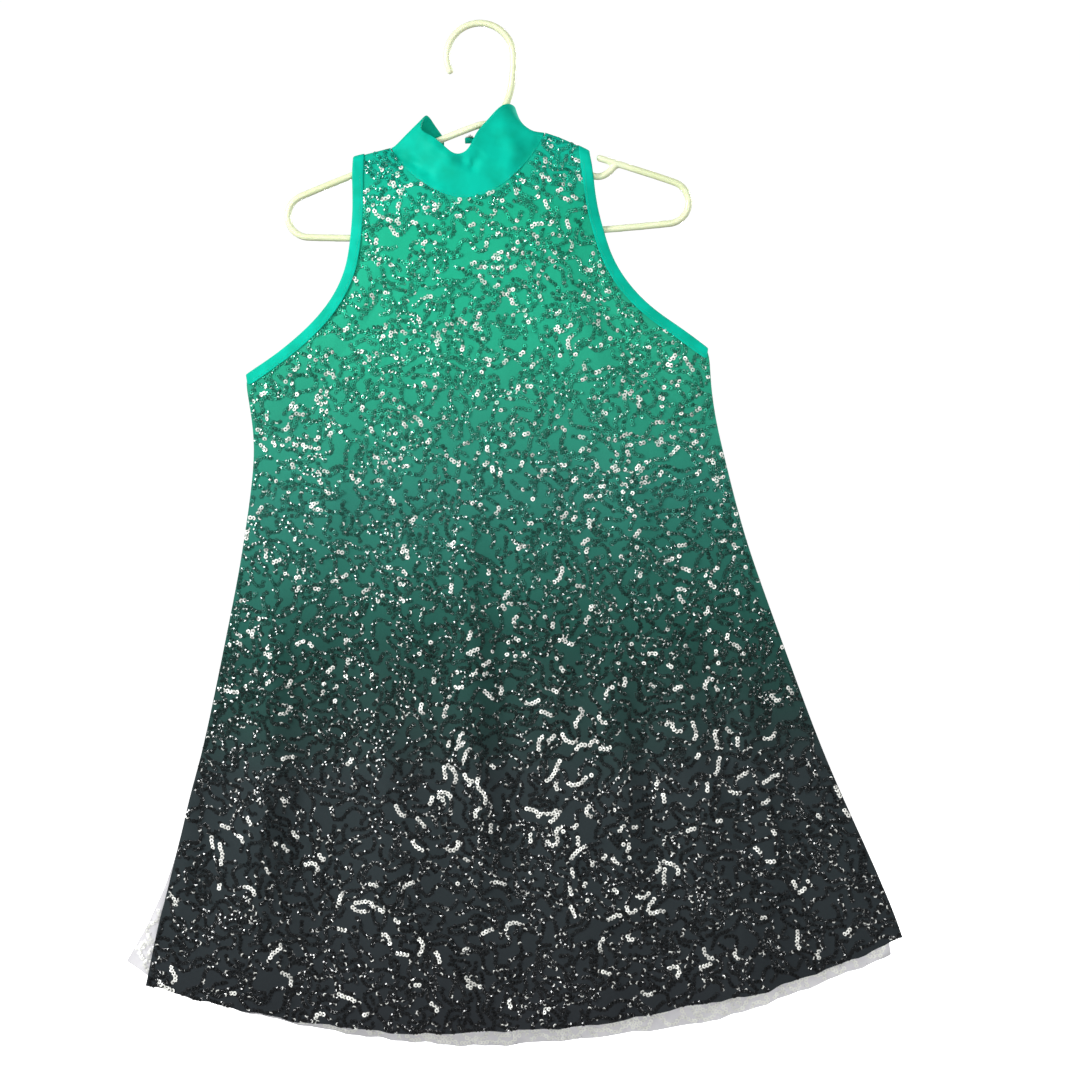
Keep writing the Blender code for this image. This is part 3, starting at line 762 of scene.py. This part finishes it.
# How a row of sewing wanders: sequins in it, the swing of its bends, how fast they follow each
# other, a random shake, and the turns in radians that it tries where its way is crowded
ROW_LENGTH = (8, 50)
ROW_SWING = (0.3, 0.65)
ROW_PACE = (0.3, 0.9)
ROW_SHAKE = 0.12
ROW_TURNS = (0.0, 0.3, -0.3, 0.6, -0.6, 0.9, -0.9)
# A row keeps clear of itself from this many sequins back, and counts from this many on
OWN_CLEAR = 5
ROW_LEAST = 3
# The cloth is full after this many tries without room
FULL_AFTER = 12000


def chain_walks(rng, box, inside, gap, step):
    """Wandering rows of sewing, as on vermicelli embroidery: points and headings in mm."""
    cell = gap / 2
    taken = {}

    def crowded(x, y, number, order):
        cx, cy = int(x // cell), int(y // cell)
        for i in range(cx - 2, cx + 3):
            for j in range(cy - 2, cy + 3):
                for px, py, walk, place in taken.get((i, j), ()):
                    near = (px - x) ** 2 + (py - y) ** 2
                    if near < gap * gap and (walk != number or order - place > OWN_CLEAR):
                        return True
        return False

    def remember(x, y, number, order):
        taken.setdefault((int(x // cell), int(y // cell)), []).append((x, y, number, order))

    walks = []
    low_x, high_x, low_y, high_y = box
    misses = 0
    while misses < FULL_AFTER:
        x, y = rng.uniform(low_x, high_x), rng.uniform(low_y, high_y)
        number = len(walks)
        if not inside(x, y) or crowded(x, y, number, 0):
            misses += 1
            continue
        heading = rng.uniform(0, math.tau)
        phase = rng.uniform(0, math.tau)
        swing = rng.uniform(*ROW_SWING)
        walk = []
        for order in range(rng.randint(*ROW_LENGTH)):
            walk.append((x, y, heading))
            phase += rng.uniform(*ROW_PACE)
            bend = swing * math.sin(phase) + rng.gauss(0.0, ROW_SHAKE)
            found = False
            for turn in ROW_TURNS:
                trial = heading + bend + turn
                nx, ny = x + step * math.cos(trial), y + step * math.sin(trial)
                if inside(nx, ny) and not crowded(nx, ny, number, order + 1):
                    found = True
                    break
            if not found:
                break
            remember(x, y, number, order)
            x, y, heading = nx, ny, trial
        else:
            order += 1
        remember(x, y, number, order)
        if len(walk) >= ROW_LEAST:
            walks.append(walk)
        else:
            misses += 1
    return walks


# Places where more sequins lie turned over, white, also as painted highlights: x, depth, reach in
# mm
TURNED_AND_HIGHLIGHT_PATCHES = (
    (-48, 780, 45), (92, 800, 70), (112, 880, 50), (198, 715, 35), (-290, 850, 45),
    (60, 730, 45), (-140, 905, 40), (-90, 178, 36), (85, 172, 36), (-212, 400, 48),
    (205, 400, 60), (150, 470, 50), (30, 250, 40),
)


# Down to which depth in mm, and there the chance that a run of turned, white sequins starts, also
# as painted highlights, and its fewest and most sequins: first outside the patches, then in them
TURNED_AND_HIGHLIGHT_RUNS = (
    (480, (0.065, 1, 2), (0.17, 1, 2)),
    (690, (0.035, 1, 3), (0.035, 1, 3)),
    (math.inf, (0.01, 2, 6), (0.06, 2, 7)),
)


def turned_and_highlight_run(rng, x, depth, left):
    """How many sequins from here on show their white, unprinted side, also as painted highlights:
    short runs above, longer below.
    """
    if left > 1:
        return left - 1
    patch = any(math.hypot(x - px, depth - py) < reach for px, py, reach in TURNED_AND_HIGHLIGHT_PATCHES)
    _, plain, turned = next(zone for zone in TURNED_AND_HIGHLIGHT_RUNS if depth < zone[0])
    chance, least, most = turned if patch else plain
    return rng.randint(least, most) if rng.random() < chance else 0


# How far a sequin leans on the one before it and rolls about its row, in radians: mean, spread
LEAN = (0.26, 0.17)
ROLL = (0.0, 0.2)
# How bright a ring's print is beside the cloth's, one of these at random
SHADES = (0.55, 0.7, 0.85, 0.95, 1.05, 1.2, 1.7)
# The print turns dark from this depth on, over this many mm
DARK_FROM, DARK_OVER = 420, 380
MOST_TO_A_PIECE = 6800


def lay_sequins(name, walks, tree, toward, seed, lift=0.45, all_bare=False):
    """Sets a sequin at every step of the walks, leaning on its neighbour and facing out.

    A few get a painted glint at one side, two outer corners in white film, and more so in the dark
    part.
    """
    rng = random.Random(seed)
    corners, faces = take_apart(one_sequin())
    sequin = bpy.context.scene.dress_sizes.sequin
    outer = np.hypot(corners[:, 0], corners[:, 1]) > sequin * 0.4
    outer_corners = np.flatnonzero(outer)
    hole_face = [len(face) > 4 and not outer[face[0]] for face in faces]
    spots = []
    for walk in walks:
        left = 0
        for x, depth, heading in walk:
            left = turned_and_highlight_run(rng, x, depth, left)
            place, normal = land(tree, x, depth, toward)
            lean = rng.gauss(*LEAN)
            roll = rng.gauss(*ROLL)
            dark = min(max((depth - DARK_FROM) / DARK_OVER, 0.0), 1.0)
            shade = rng.choice(SHADES) * (1 - 0.6 * dark)
            whiteness = 1.0 if all_bare else rng.uniform(0.35 + 0.3 * dark, 1.0)
            painted_glint = rng.random() < 0.06 + 0.06 * dark
            glint_corner = rng.randrange(len(corners) // 2)
            if place is None:
                continue
            along, side = row_axes(normal, heading)
            turn = Matrix.Rotation(lean, 3, side) @ Matrix.Rotation(roll, 3, along)
            basis = turn @ Matrix((along, side, normal)).transposed()
            # White film: the whole reverse ring on the strip, and runs of turned rings, also as
            # painted highlights
            bare_and_glint = whiteness if all_bare or left > 0 else 0.0
            cover = np.full(len(corners), bare_and_glint)
            # Painted glints: two outer corners of a few printed rings go white film
            if painted_glint and not bare_and_glint:
                cover[outer_corners[glint_corner]] = cover[outer_corners[glint_corner - 1]] = 1.0
            spots.append((place + normal * lift * MM, basis, shade, cover))
    count = max(1, math.ceil(len(spots) / MOST_TO_A_PIECE))
    spots.sort(key=lambda spot: -spot[0].z)
    pieces = []
    for part in range(count):
        share = spots[part * len(spots) // count:(part + 1) * len(spots) // count]
        piece = lay_copies(f"{name}_{part + 1}", corners, faces, [spot[:2] for spot in share])
        mesh = piece.data
        for label, values in (
            ("shade", np.repeat([spot[2] for spot in share], len(corners))),
            ("bare_and_glint", np.concatenate([spot[3] for spot in share])),
            # rim marks the outer corners, where the film darkens as painted shade
            ("rim", np.tile(outer.astype(float) * (not all_bare), len(share))),
        ):
            attribute = mesh.attributes.new(label, "FLOAT", "POINT")
            attribute.data.foreach_set("value", values.astype(np.float32))
        paint(piece, "film", "reverse" if all_bare else "hole")
        mesh.polygons.foreach_set("material_index", np.tile(hole_face, len(share)).astype(int))
        mesh.update()
        pieces.append(piece)
    return pieces


def piece_tree(*names):
    """A ray tree of finished pieces."""
    places, polygons = [], []
    for name in names:
        mesh = bpy.data.objects[name].data
        start = len(places)
        places += [vertex.co.copy() for vertex in mesh.vertices]
        polygons += [tuple(start + index for index in face.vertices) for face in mesh.polygons]
    return BVHTree.FromPolygons(places, polygons)


# How far sequins stay from the cloth's edge in mm, on the front and on the back, the share of
# it that they keep above the hem, and the least that a normal faces the ray
EDGE_MARGIN = {1: 2.2, -1: 3.0}
HEM_SHARE = 0.7
EDGE_ON = 0.12


def open_cloth(sheet, covers, toward):
    """A test for points in mm: cloth is there and no band covers it."""
    reach = Vector((0, toward, 0))
    margin = EDGE_MARGIN[toward]

    def test(x, depth):
        start = Vector((x * MM, -BEFORE * toward, -depth * MM))
        place, normal, _, away = sheet.ray_cast(start, reach)
        if place is None or abs(normal.y) < EDGE_ON:
            return False
        for over, down in ((margin, 0), (-margin, 0), (0, margin * HEM_SHARE)):
            beside = start + Vector((over * MM, 0, -down * MM))
            if sheet.ray_cast(beside, reach)[0] is None:
                return False
        cover = covers.ray_cast(start, reach)
        return cover[0] is None or cover[3] > away + 1 * MM

    return test


# The strip of reverse below the front hem, in mm: the depth from which it is looked for, where
# its cloth has to go on beside a ring, how far below a ring no front may cover it, and its rows'
# share of the usual gap
STRIP_FROM = 880
STRIP_BESIDE = ((-2.5, 0), (2.5, 0), (0, 2.6))
STRIP_CLEAR = 5
STRIP_GAP = 0.9


class DRESS_OT_sequins(bpy.types.Operator):
    """Sews rows of sequins over the front and the back"""
    bl_idname = "dress.sequins"
    bl_label = "Sequins"

    def execute(self, context):
        sizes = context.scene.dress_sizes
        covers = piece_tree("collar_band", "binding_left", "binding_right")
        for side, name, toward, seed in (
            ("front", "dress_front", 1, 11), ("back", "dress_back", -1, 29),
        ):
            sheet = piece_tree(name)
            low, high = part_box(f"{side}_panel")
            box = (low[0] / MM, high[0] / MM, -high[2] / MM, -low[2] / MM)
            rng = random.Random(seed)
            walks = chain_walks(
                rng, box, open_cloth(sheet, covers, toward), sizes.row_gap / MM, sizes.step / MM
            )
            for piece in lay_sequins(f"sequins_{side}", walks, sheet, toward, seed + 1):
                finish_piece(piece, "sequins")
        self.line_hem(sizes)
        return {"FINISHED"}

    def line_hem(self, sizes):
        """Rings on the reverse of the longer back, where it shows below the front."""
        front, back = piece_tree("dress_front"), piece_tree("dress_back")
        reach = Vector((0, 1, 0))

        def shows(x, depth):
            for over, down in STRIP_BESIDE:
                beside = Vector(((x + over) * MM, -BEFORE, -(depth + down) * MM))
                if back.ray_cast(beside, reach)[0] is None:
                    return False
            lower = Vector((x * MM, -BEFORE, -(depth + STRIP_CLEAR) * MM))
            return front.ray_cast(lower, reach)[0] is None

        rng = random.Random(47)
        low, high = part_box("back_panel")
        box = (low[0] / MM, high[0] / MM, STRIP_FROM, -low[2] / MM)
        walks = chain_walks(rng, box, shows, STRIP_GAP * sizes.row_gap / MM, sizes.step / MM)
        for piece in lay_sequins(
            "sequins_reverse", walks, back, 1, 48, lift=0.3, all_bare=True
        ):
            finish_piece(piece, "sequins")


# Rows of stitches: the side, the middle that its rays leave in mm (x, depth), and the first and
# last ray in degrees, 0 to the right and 90 down
STITCH_ROWS = (
    ("left_front", 1, (-262, 165), -8, 86), ("right_front", 1, (262, 165), 188, 94),
    ("neck_front", 1, (14, 118), 12, 168),
    ("left_back", -1, (-262, 165), -8, 86), ("right_back", -1, (262, 165), 188, 94),
    ("neck_back_left", -1, (-20, 60), 96, 150), ("neck_back_right", -1, (10, 60), 84, 30),
)
# The rays of one row, where each starts and ends and its steps, and how far a stitch lies inside
# the band's edge, in mm
SEAM_RAYS = 160
RAY_NEAR, RAY_FAR, RAY_STEP = 8, 330, 2
INSIDE_EDGE = 4
# From one stitch to the next, in stitches, and the gap in mm that a row doesn't cross
STITCH_PITCH = 1.3
ROW_BREAK = 25


def one_stitch():
    """A short length of thread with rounded ends."""
    sizes = bpy.context.scene.dress_sizes
    bpy.ops.object.select_all(action="DESELECT")
    bpy.ops.mesh.primitive_cylinder_add(
        vertices=6, radius=sizes.thread, depth=sizes.stitch, end_fill_type="NGON"
    )
    stitch = bpy.context.active_object
    bpy.ops.object.mode_set(mode="EDIT")
    bpy.ops.mesh.select_all(action="SELECT")
    bpy.ops.transform.rotate(value=math.pi / 2, orient_axis="Y", center_override=(0, 0, 0))
    close_edit()
    modify(stitch, "BEVEL", width=sizes.thread * 0.6, segments=1, limit_method="ANGLE")
    return stitch


def seam_line(open_here, middle, first, last):
    """Points in mm just inside a band's edge, one for each ray that crosses from band to cloth."""
    line = []
    for number in range(SEAM_RAYS + 1):
        angle = math.radians(first + (last - first) * number / SEAM_RAYS)
        across, down = math.cos(angle), math.sin(angle)
        for far in range(RAY_NEAR, RAY_FAR, RAY_STEP):
            if open_here(middle[0] + across * far, middle[1] + down * far):
                near = far - INSIDE_EDGE
                line.append((middle[0] + across * near, middle[1] + down * near))
                break
    return line


def lay_stitches(name, line, tree, toward):
    """Sets stitches one after another along a line of points in mm, on the band's face."""
    corners, faces = take_apart(one_stitch())
    pitch = bpy.context.scene.dress_sizes.stitch / MM * STITCH_PITCH
    spots = []
    carried = 0.0
    for (x0, y0), (x1, y1) in zip(line[:-1], line[1:]):
        length = math.hypot(x1 - x0, y1 - y0)
        if length < 1e-6 or length > ROW_BREAK:
            continue
        heading = math.atan2(y1 - y0, x1 - x0)
        at = pitch - carried
        while at <= length:
            x, y = x0 + (x1 - x0) * at / length, y0 + (y1 - y0) * at / length
            place, normal = land(tree, x, y, toward)
            at += pitch
            if place is None:
                continue
            along, side = row_axes(normal, heading)
            spots.append((place, Matrix((along, side, normal)).transposed()))
        carried = length - (at - pitch)
    piece = lay_copies(name, corners, faces, spots)
    paint(piece, "thread")
    return piece


class DRESS_OT_stitches(bpy.types.Operator):
    """Sews the collar and the bindings down with a row of stitches each"""
    bl_idname = "dress.stitches"
    bl_label = "Stitches"

    def execute(self, context):
        covers = piece_tree("collar_band", "binding_left", "binding_right")
        sheets = {1: piece_tree("dress_front"), -1: piece_tree("dress_back")}
        for name, toward, middle, first, last in STITCH_ROWS:
            open_here = open_cloth(sheets[toward], covers, toward)
            line = seam_line(open_here, middle, first, last)
            finish_piece(lay_stitches(f"stitches_{name}", line, covers, toward), "thread")
        return {"FINISHED"}


# Each light's name, its place and width in metres and its power in watts; all look at AIM
LIGHTS = (
    ("softbox_left", (-2.3, -1.3, 0.6), 0.9, 90),
    ("softbox_right", (2.2, -2.2, 0.2), 1.0, 9),
    ("glint_1", (-1.5, -2.3, 0.4), 0.12, 3.0),
    ("glint_2", (1.4, -2.3, 0.3), 0.12, 3.0),
    ("glint_3", (-0.2, -2.5, 0.8), 0.12, 3.0),
    ("glint_4", (0.7, -2.7, -1.0), 0.12, 3.0),
    ("glint_5", (-0.9, -2.7, -0.8), 0.12, 3.0),
    ("glint_6", (0.5, -2.8, 0.0), 0.12, 3.0),
    ("glint_7", (-0.5, -2.8, -0.2), 0.12, 3.0),
    ("glint_8", (1.8, -1.8, 0.9), 0.12, 3.0),
    ("glint_9", (0.4, -2.1, 1.3), 0.12, 3.0),
    ("glint_10", (-1.7, -2.0, -0.9), 0.12, 3.0),
    ("floor_bounce", (0.2, -1.7, -1.25), 1.5, 17),
    ("back_softbox", (2.3, 1.3, 0.6), 0.9, 84),
    ("back_glint_1", (-1.1, 2.5, 0.2), 0.12, 3.6),
    ("back_glint_2", (0.8, 2.8, -0.5), 0.12, 3.6),
    ("back_glint_3", (-0.2, 2.8, -0.2), 0.12, 3.6),
    ("back_glint_4", (0.4, 2.3, 0.9), 0.12, 3.6),
)
AIM = Vector((0, 0, -0.55))
FLOOR_WIDTH = 40
FLOOR_HEIGHT = -1.3
# The camera's lens and sensor in mm, its place in metres and its lean to one side in degrees
LENS = 71.4
SENSOR = 36
CAMERA_PLACE = (0.0427, -2.212, -0.5326)
CAMERA_LEAN = 2.2


class DRESS_OT_stage(bpy.types.Operator):
    """Sets the pale floor, the soft lights and the camera"""
    bl_idname = "dress.stage"
    bl_label = "Stage"

    def execute(self, context):
        scene = context.scene
        bpy.ops.object.select_all(action="DESELECT")
        bpy.ops.mesh.primitive_plane_add(size=FLOOR_WIDTH, location=(0, 0, FLOOR_HEIGHT))
        floor = context.active_object
        floor.name = "studio_floor"
        paint(floor, "paper")
        bpy.ops.object.transform_apply(location=True, rotation=True, scale=True)
        floor.visible_diffuse = False
        floor.visible_glossy = False
        world = bpy.data.worlds.new("soft studio")
        world.use_nodes = True
        tree = world.node_tree
        tree.nodes.clear()
        backdrop = add_node(tree, "ShaderNodeBackground", {"Strength": 1.02})
        room = add_node(tree, "ShaderNodeBackground", {"Strength": 0.2})
        for light in (backdrop, room):
            light.inputs["Color"].default_value = (1.0, 1.0, 1.0, 1.0)
        seen = add_node(tree, "ShaderNodeLightPath")
        mixed = add_node(
            tree, "ShaderNodeMixShader",
            links={0: seen.outputs["Is Camera Ray"], 1: room.outputs[0], 2: backdrop.outputs[0]},
        )
        add_node(tree, "ShaderNodeOutputWorld", links={"Surface": mixed.outputs[0]})
        scene.world = world
        for name, place, size, power in LIGHTS:
            light = bpy.data.lights.new(name, "AREA")
            light.size = size
            light.energy = power
            lamp = bpy.data.objects.new(name, light)
            scene.collection.objects.link(lamp)
            lamp.location = place
            lamp.visible_glossy = name != "floor_bounce"
            beam = AIM - Vector(place)
            lamp.rotation_euler = beam.to_track_quat("-Z", "Y").to_euler()
        camera_data = bpy.data.cameras.new("photo_camera")
        camera_data.lens = LENS
        camera_data.sensor_width = SENSOR
        camera = bpy.data.objects.new("photo_camera", camera_data)
        scene.collection.objects.link(camera)
        lean = math.radians(CAMERA_LEAN)
        right = Vector((math.cos(lean), 0, -math.sin(lean)))
        up = Vector((math.sin(lean), 0, math.cos(lean)))
        back = Vector((0, -1, 0))
        turn = Matrix((right, up, back)).transposed().to_4x4()
        camera.matrix_world = Matrix.Translation(CAMERA_PLACE) @ turn
        scene.camera = camera
        scene.view_settings.view_transform = "Standard"
        return {"FINISHED"}


def colour_property(label, told, hex_colour):
    return bpy.props.FloatVectorProperty(
        name=label, description=told, subtype="COLOR", size=3, min=0.0, max=1.0,
        default=linear(hex_colour),
    )


def length_property(label, told, value):
    return bpy.props.FloatProperty(
        name=label, description=told, default=value * MM, min=0.0, unit="LENGTH", precision=4
    )


class DressColours(bpy.types.PropertyGroup):
    """The colours of cloth, sequins, knit, thread and plastic"""
    neck: colour_property("Neck", "Print at the neckline", "#06A087")
    chest: colour_property("Chest", "Print across the chest", "#1CA17D")
    waist: colour_property("Waist", "Print above the waist", "#249878")
    hip: colour_property("Hip", "Print at the hip", "#297162")
    thigh: colour_property("Thigh", "Print at the thigh", "#20463F")
    knee: colour_property("Knee", "Print above the knee", "#2A3234")
    hem: colour_property("Hem", "Print at the hem", "#25282B")
    # Unprinted film: the reverse rings, turned rings, and painted highlights and glints on rings
    # in front
    bare_film_and_glint: colour_property("Bare film and glints", "Unprinted film, also as painted highlights and glints", "#F2F3ED")
    reverse: colour_property("Reverse", "Undyed back of the mesh", "#DFDEE1")
    reverse_shade: colour_property("Reverse shade", "Darker flecks on the back", "#D2D1D5")
    knit: colour_property("Knit", "Collar and bindings", "#00B399")
    # A darker copy of the knit, laid as painted shade
    knit_painted_shade: colour_property("Knit painted shade", "Collar and bindings in painted shade", "#00A186")
    thread: colour_property("Thread", "Seam stitches", "#04A98A")
    hanger: colour_property("Hanger", "Ivory plastic", "#E2E8C6")
    # A darker copy of the ivory, laid as painted shade
    hanger_painted_shade: colour_property("Hanger painted shade", "Ivory in painted shade", "#D5DDB3")
    button: colour_property("Button", "Pearl button", "#F4F2EC")


class DressSizes(bpy.types.PropertyGroup):
    """The sizes of cloth, sequins, rows and stitches"""
    cloth: length_property("Cloth", "Thickness of the sequin cloth", 0.8)
    sequin: length_property("Sequin", "Diameter of a sequin", 5.0)
    hole: length_property("Hole", "Diameter of a sequin's hole", 1.8)
    cup: length_property("Cup", "Rise of a sequin's face to its hole", 0.3)
    step: length_property("Step", "Distance from one sequin to the next in a row", 3.5)
    stitch: length_property("Stitch", "Length of a stitch", 2.5)
    thread: length_property("Thread", "Half the thickness of the sewing thread", 0.22)
    row_gap: length_property("Row gap", "Least distance between rows", 4.0)


STEPS = (
    DRESS_OT_front, DRESS_OT_back, DRESS_OT_collar, DRESS_OT_bindings, DRESS_OT_fastening,
    DRESS_OT_hanger, DRESS_OT_sequins, DRESS_OT_stitches, DRESS_OT_stage,
)


class DRESS_PT_steps(bpy.types.Panel):
    """Lists each step of the dress, then its sizes and colours"""
    bl_idname = "DRESS_PT_steps"
    bl_label = "Sequin dress"
    bl_space_type = "VIEW_3D"
    bl_region_type = "UI"
    bl_category = "Dress"

    def draw(self, context):
        for step in STEPS:
            self.layout.operator(step.bl_idname)
        for group in (context.scene.dress_sizes, context.scene.dress_colours):
            for name in group.bl_rna.properties.keys():
                if name not in ("rna_type", "name"):
                    self.layout.prop(group, name)


CLASSES = (DressColours, DressSizes, *STEPS, DRESS_PT_steps)


def register():
    for each in CLASSES:
        bpy.utils.register_class(each)
    bpy.types.Scene.dress_colours = bpy.props.PointerProperty(type=DressColours)
    bpy.types.Scene.dress_sizes = bpy.props.PointerProperty(type=DressSizes)


def unregister():
    del bpy.types.Scene.dress_colours
    del bpy.types.Scene.dress_sizes
    for each in reversed(CLASSES):
        bpy.utils.unregister_class(each)


def main():
    register()
    bpy.ops.dress.front()
    bpy.ops.dress.back()
    bpy.ops.dress.collar()
    bpy.ops.dress.bindings()
    bpy.ops.dress.fastening()
    bpy.ops.dress.hanger()
    bpy.ops.dress.sequins()
    bpy.ops.dress.stitches()
    bpy.ops.dress.stage()


if __name__ == "__main__":
    main()
